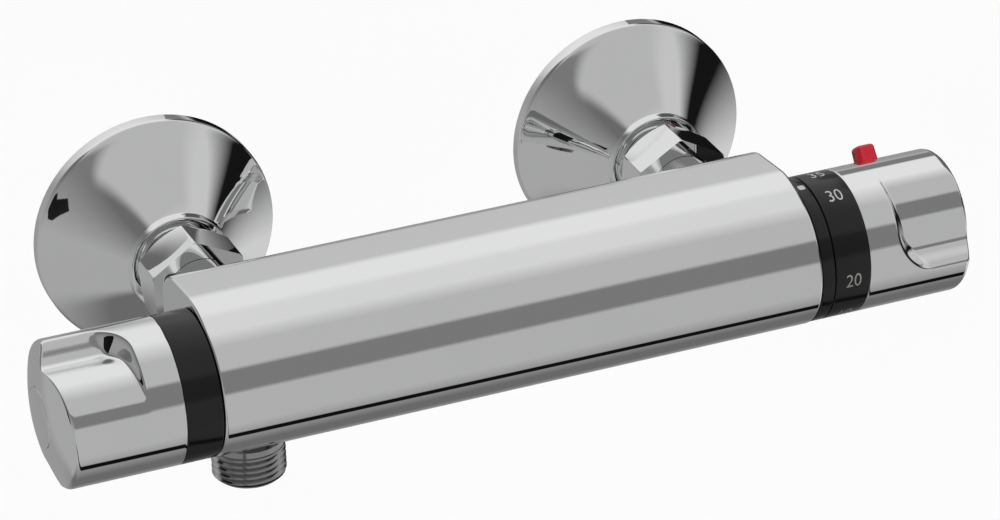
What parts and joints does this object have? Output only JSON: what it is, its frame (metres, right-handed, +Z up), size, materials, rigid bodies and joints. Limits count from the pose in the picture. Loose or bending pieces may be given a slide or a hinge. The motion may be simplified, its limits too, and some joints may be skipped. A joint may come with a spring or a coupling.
{
  "type": "thermostatic shower valve",
  "caption": "Wall-mounted thermostatic bar valve with scooped flow and temperature handles, black dial rings, a red override button, cone roses and a threaded shower outlet.",
  "frame": {"origin": "on the finished wall plane, midway between the two inlet axes and at their height", "axes": "+X along the bar to the temperature handle, +Y into the wall, +Z up"},
  "size_m": [0.277, 0.1281, 0.072],
  "materials": {
    "chrome": "polished",
    "plain_brass": "machined",
    "black_ring": "satin",
    "red_button": "gloss",
    "seal_rubber": "matte",
    "steel": "brushed",
    "white_plastic": "satin"
  },
  "bodies": {
    "bar": {"valve_body": "chrome", "outlet_nipple": "chrome", "wall_union_left": "plain_brass", "wall_union_right": "plain_brass", "wall_rose_left": "chrome", "wall_rose_right": "chrome", "union_nut_left": "chrome", "union_nut_right": "chrome", "union_washer_left": "seal_rubber", "union_washer_right": "seal_rubber", "inlet_tail_left": "chrome", "inlet_tail_right": "chrome", "inlet_strainer_left": "steel", "inlet_strainer_right": "steel", "check_housing_left": "white_plastic", "check_housing_right": "white_plastic", "check_spring_left": "steel", "check_spring_right": "steel", "flow_housing": "plain_brass", "flow_housing_seal": "seal_rubber", "flow_end_seal": "seal_rubber", "flow_fixed_disc": "white_plastic", "cartridge_housing": "white_plastic", "cartridge_seals": "seal_rubber", "retaining_nut": "plain_brass", "stop_ring": "white_plastic", "index_ring": "black_ring", "return_spring": "steel"},
    "flow_control": {"flow_handle": "chrome", "flow_ring": "black_ring", "flow_handle_screw": "steel", "flow_handle_cap": "chrome", "flow_spindle": "plain_brass", "flow_spindle_seal": "seal_rubber", "flow_turning_disc": "white_plastic"},
    "temperature_control": {"temperature_handle": "chrome", "number_ring": "black_ring", "temperature_handle_screw": "steel", "temperature_handle_cap": "chrome", "temperature_spindle": "plain_brass", "temperature_spindle_seal": "seal_rubber", "button_spring": "steel"},
    "button": {"safety_button": "red_button"},
    "regulator": {"regulating_nut": "plain_brass", "overtravel_plate": "steel", "overtravel_spring": "steel", "wax_element": "plain_brass", "regulating_sleeve": "steel"},
    "left_poppet": {"check_poppet_left": "white_plastic"},
    "right_poppet": {"check_poppet_right": "white_plastic"}
  },
  "joints": [
    {"name": "flow_turn", "type": "hinge", "parent": "bar", "child": "flow_control", "pos_m": [-0.1, -0.091, -0.002], "axis": [-1, 0, 0], "range_deg": [0, 90]},
    {"name": "temperature_turn", "type": "hinge", "parent": "bar", "child": "temperature_control", "pos_m": [0.1, -0.091, -0.002], "axis": [1, 0, 0], "range_deg": [-128, 115]},
    {"name": "button_press", "type": "slide", "parent": "temperature_control", "child": "button", "axis": [0, -0.5878, -0.809], "range_m": [0, 0.002], "stiffness_N_per_m": 2000, "springref_m": -0.001, "deforming": ["button_spring"]},
    {"name": "regulator_slide", "type": "slide", "parent": "bar", "child": "regulator", "axis": [1, 0, 0], "range_m": [-0.00108, 0.00097], "deforming": ["return_spring"]},
    {"name": "left_check_open", "type": "slide", "parent": "bar", "child": "left_poppet", "axis": [0, -1, 0], "range_m": [0, 0.0025], "stiffness_N_per_m": 200, "springref_m": -0.001, "deforming": ["check_spring_left"]},
    {"name": "right_check_open", "type": "slide", "parent": "bar", "child": "right_poppet", "axis": [0, -1, 0], "range_m": [0, 0.0025], "stiffness_N_per_m": 200, "springref_m": -0.001, "deforming": ["check_spring_right"]}
  ],
  "couplings": [
    {"joint": "regulator_slide", "follows": "temperature_turn", "m_per_rad": 0.00047746}
  ]
}
